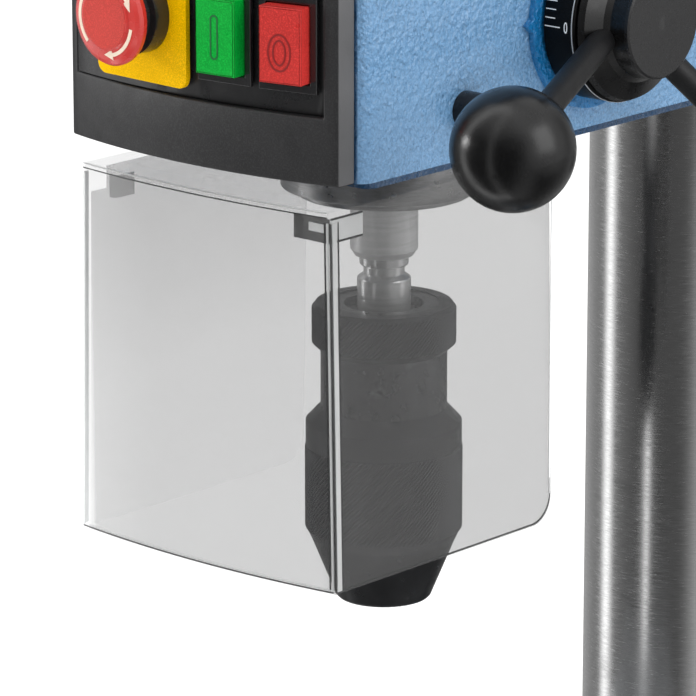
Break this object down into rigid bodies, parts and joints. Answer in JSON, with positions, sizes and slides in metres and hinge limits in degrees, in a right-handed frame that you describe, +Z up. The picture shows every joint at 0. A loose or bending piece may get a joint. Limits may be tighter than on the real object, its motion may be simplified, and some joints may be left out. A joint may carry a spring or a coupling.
{
  "type": "bench drill press",
  "caption": "Belt-driven bench drill press on a round column: cast base, tilting height-adjustable table, feed handle with depth scale, keyless chuck and clear swing guard.",
  "frame": {"origin": "centre of the column on the base underside", "axes": "+X towards the feed handle side, -Y towards the operator, +Z up along the column"},
  "size_m": [0.271, 0.52, 0.8645],
  "materials": {
    "base": "textured dark paint on cast iron",
    "column_flange": "textured dark paint on cast iron",
    "flange_bolts": "blackened steel",
    "column": "ground and brushed around the tube",
    "rack_ring": "textured dark paint",
    "rack_ring_screw": "black oxide",
    "rack": "machined",
    "table_bracket": "textured blue paint on cast iron",
    "tilt_bolt": "zinc plated",
    "bracket_lever": "black lever with ball end",
    "lift_pinion": "machined",
    "lift_crank": "dark paint",
    "lift_knob": "black",
    "table": "ground top",
    "head_casting": "textured blue paint on cast iron",
    "column_set_screws": "black oxide",
    "quill_lock_screw": "black oxide",
    "control_box": "fine grained black",
    "control_insert": "black film",
    "switch_block": "dark grey",
    "estop_plate": "yellow",
    "estop_body": "black",
    "estop_button": "red",
    "button_bezels": "black",
    "start_button": "green",
    "stop_button": "red",
    "quill": "ground",
    "quill_bearings": "polished",
    "spindle": "turned",
    "arbor": "ground",
    "chuck_body": "blackened",
    "chuck_ring": "blackened and knurled",
    "chuck_sleeve": "blackened and knurled",
    "chuck_nose": "blackened",
    "jaw_1": "ground",
    "jaw_2": "ground",
    "jaw_3": "ground",
    "guard_retainer": "light grey",
    "guard_ring": "light grey",
    "chuck_guard": "clear moulded polycarbonate",
    "feed_pinion": "machined",
    "depth_drum": "black with white scale",
    "feed_hub": "black",
    "feed_arms": "black",
    "ball_knobs": "black phenolic",
    "spring_cap": "black",
    "return_spring": "blued spring steel",
    "belt_tray": "blue paint",
    "belt_lid": "textured black paint",
    "lid_pin": "zinc plated",
    "lid_knob": "black",
    "drive_bearing": "polished",
    "drive_sleeve": "machined",
    "spindle_pulley": "turned",
    "motor_plate": "dark paint",
    "tension_knob": "black",
    "motor_body": "dark grey paint",
    "motor_shaft": "turned",
    "motor_pulley": "turned",
    "v_belt": "black rubber"
  },
  "bodies": {
    "stand": {"base": "base", "column_flange": "column_flange", "flange_bolts": "flange_bolts", "column": "column", "rack": "rack", "rack_ring": "rack_ring", "rack_ring_screw": "rack_ring_screw", "head_casting": "head_casting", "column_set_screws": "column_set_screws", "quill_lock_screw": "quill_lock_screw", "control_box": "control_box", "control_insert": "control_insert", "switch_block": "switch_block", "estop_plate": "estop_plate", "estop_body": "estop_body", "button_bezels": "button_bezels", "guard_retainer": "guard_retainer", "spring_cap": "spring_cap", "return_spring": "return_spring", "belt_tray": "belt_tray", "lid_pin": "lid_pin", "drive_bearing": "drive_bearing", "v_belt": "v_belt"},
    "table_lift": {"table_bracket": "table_bracket", "tilt_bolt": "tilt_bolt"},
    "column_clamp": {"bracket_lever": "bracket_lever"},
    "crank": {"lift_pinion": "lift_pinion", "lift_crank": "lift_crank"},
    "crank_grip": {"lift_knob": "lift_knob"},
    "table": {"table": "table"},
    "estop": {"estop_button": "estop_button"},
    "start": {"start_button": "start_button"},
    "stop": {"stop_button": "stop_button"},
    "quill": {"quill": "quill", "quill_bearings": "quill_bearings"},
    "spindle": {"spindle": "spindle", "arbor": "arbor", "chuck_body": "chuck_body", "chuck_ring": "chuck_ring"},
    "chuck_sleeve": {"chuck_sleeve": "chuck_sleeve", "chuck_nose": "chuck_nose"},
    "jaw_a": {"jaw_1": "jaw_1"},
    "jaw_b": {"jaw_2": "jaw_2"},
    "jaw_c": {"jaw_3": "jaw_3"},
    "guard": {"guard_ring": "guard_ring", "chuck_guard": "chuck_guard"},
    "feed_handle": {"feed_pinion": "feed_pinion", "feed_hub": "feed_hub", "feed_arms": "feed_arms", "ball_knobs": "ball_knobs"},
    "depth_scale": {"depth_drum": "depth_drum"},
    "lid": {"belt_lid": "belt_lid", "lid_knob": "lid_knob"},
    "drive": {"drive_sleeve": "drive_sleeve", "spindle_pulley": "spindle_pulley"},
    "motor": {"motor_plate": "motor_plate", "motor_body": "motor_body"},
    "rotor": {"motor_shaft": "motor_shaft", "motor_pulley": "motor_pulley"},
    "tension_lock": {"tension_knob": "tension_knob"}
  },
  "joints": [
    {"name": "table_height", "type": "slide", "parent": "stand", "child": "table_lift", "axis": [0, 0, 1], "range_m": [-0.08, 0.02]},
    {"name": "table_tilt", "type": "hinge", "parent": "table_lift", "child": "table", "pos_m": [0, -0.145, 0.24], "axis": [0, 1, 0], "range_deg": [-45, 45]},
    {"name": "column_clamp_turn", "type": "hinge", "parent": "table_lift", "child": "column_clamp", "pos_m": [-0.07, 0, 0.26], "axis": [1, 0, 0], "range_deg": [0, 50]},
    {"name": "lift_crank_turn", "type": "hinge", "parent": "table_lift", "child": "crank", "pos_m": [0, 0.062, 0.24], "axis": [1, 0, 0], "range_deg": [-382.5, 96]},
    {"name": "crank_grip_spin", "type": "hinge", "parent": "crank", "child": "crank_grip", "pos_m": [0.09, 0.11934, 0.19985], "axis": [1, 0, 0], "continuous": true},
    {"name": "estop_push", "type": "slide", "parent": "stand", "child": "estop", "axis": [0.0561, 0.9984, 0], "range_m": [0, 0.004], "stiffness_N_per_m": 2500, "springref_m": -0.002},
    {"name": "start_push", "type": "slide", "parent": "stand", "child": "start", "axis": [-0.0974, 0.9952, 0], "range_m": [0, 0.003], "stiffness_N_per_m": 1500, "springref_m": -0.002},
    {"name": "stop_push", "type": "slide", "parent": "stand", "child": "stop", "axis": [-0.2002, 0.9798, 0], "range_m": [0, 0.003], "stiffness_N_per_m": 1500, "springref_m": -0.002},
    {"name": "quill_feed", "type": "slide", "parent": "stand", "child": "quill", "axis": [0, 0, -1], "range_m": [0, 0.06], "stiffness_N_per_m": 350, "springref_m": -0.16},
    {"name": "spindle_spin", "type": "hinge", "parent": "quill", "child": "spindle", "pos_m": [0, -0.175, 0.6025], "axis": [0, 0, 1], "continuous": true},
    {"name": "chuck_sleeve_turn", "type": "hinge", "parent": "spindle", "child": "chuck_sleeve", "pos_m": [0, -0.175, 0.4725], "axis": [0, 0, 1], "range_deg": [0, 330]},
    {"name": "guard_swing", "type": "hinge", "parent": "stand", "child": "guard", "pos_m": [0, -0.175, 0.5875], "axis": [0, 0, 1], "range_deg": [-110, 0]},
    {"name": "feed_turn", "type": "hinge", "parent": "stand", "child": "feed_handle", "pos_m": [0, -0.141, 0.644], "axis": [1, 0, 0], "range_deg": [0, 215]},
    {"name": "depth_scale_turn", "type": "hinge", "parent": "feed_handle", "child": "depth_scale", "pos_m": [0.0755, -0.141, 0.644], "axis": [1, 0, 0], "range_deg": [-150, 150]},
    {"name": "lid_open", "type": "hinge", "parent": "stand", "child": "lid", "pos_m": [-0.083, 0, 0.8025], "axis": [0, -1, 0], "range_deg": [0, 100]},
    {"name": "drive_spin", "type": "hinge", "parent": "stand", "child": "drive", "pos_m": [0, -0.175, 0.7625], "axis": [0, 0, 1], "continuous": true},
    {"name": "motor_tension", "type": "slide", "parent": "stand", "child": "motor", "axis": [0, 1, 0], "range_m": [-0.01, 0]},
    {"name": "motor_spin", "type": "hinge", "parent": "motor", "child": "rotor", "pos_m": [0, 0.142, 0.7625], "axis": [0, 0, 1], "continuous": true},
    {"name": "tension_knob_turn", "type": "hinge", "parent": "stand", "child": "tension_lock", "pos_m": [0.0755, 0.022, 0.7125], "axis": [1, 0, 0], "range_deg": [0, 180]},
    {"name": "jaw_a_grip", "type": "slide", "parent": "spindle", "child": "jaw_a", "axis": [0, 0.2079, 0.9781], "range_m": [0, 0.006], "stiffness_N_per_m": 0.95, "springref_m": 0.186},
    {"name": "jaw_b_grip", "type": "slide", "parent": "spindle", "child": "jaw_b", "axis": [-0.1801, -0.104, 0.9781], "range_m": [0, 0.006], "stiffness_N_per_m": 0.95, "springref_m": 0.186},
    {"name": "jaw_c_grip", "type": "slide", "parent": "spindle", "child": "jaw_c", "axis": [0.1801, -0.104, 0.9781], "range_m": [0, 0.006], "stiffness_N_per_m": 0.95, "springref_m": 0.186}
  ],
  "couplings": [
    {"joint": "lift_crank_turn", "follows": "table_height", "rad_per_m": 83.333},
    {"joint": "feed_turn", "follows": "quill_feed", "rad_per_m": 62.5},
    {"joint": "drive_spin", "follows": "spindle_spin", "ratio": 1},
    {"joint": "motor_spin", "follows": "spindle_spin", "ratio": 1},
    {"joint": "jaw_a_grip", "follows": "chuck_sleeve_turn", "m_per_rad": 0.0010417},
    {"joint": "jaw_b_grip", "follows": "chuck_sleeve_turn", "m_per_rad": 0.0010417},
    {"joint": "jaw_c_grip", "follows": "chuck_sleeve_turn", "m_per_rad": 0.0010417}
  ]
}
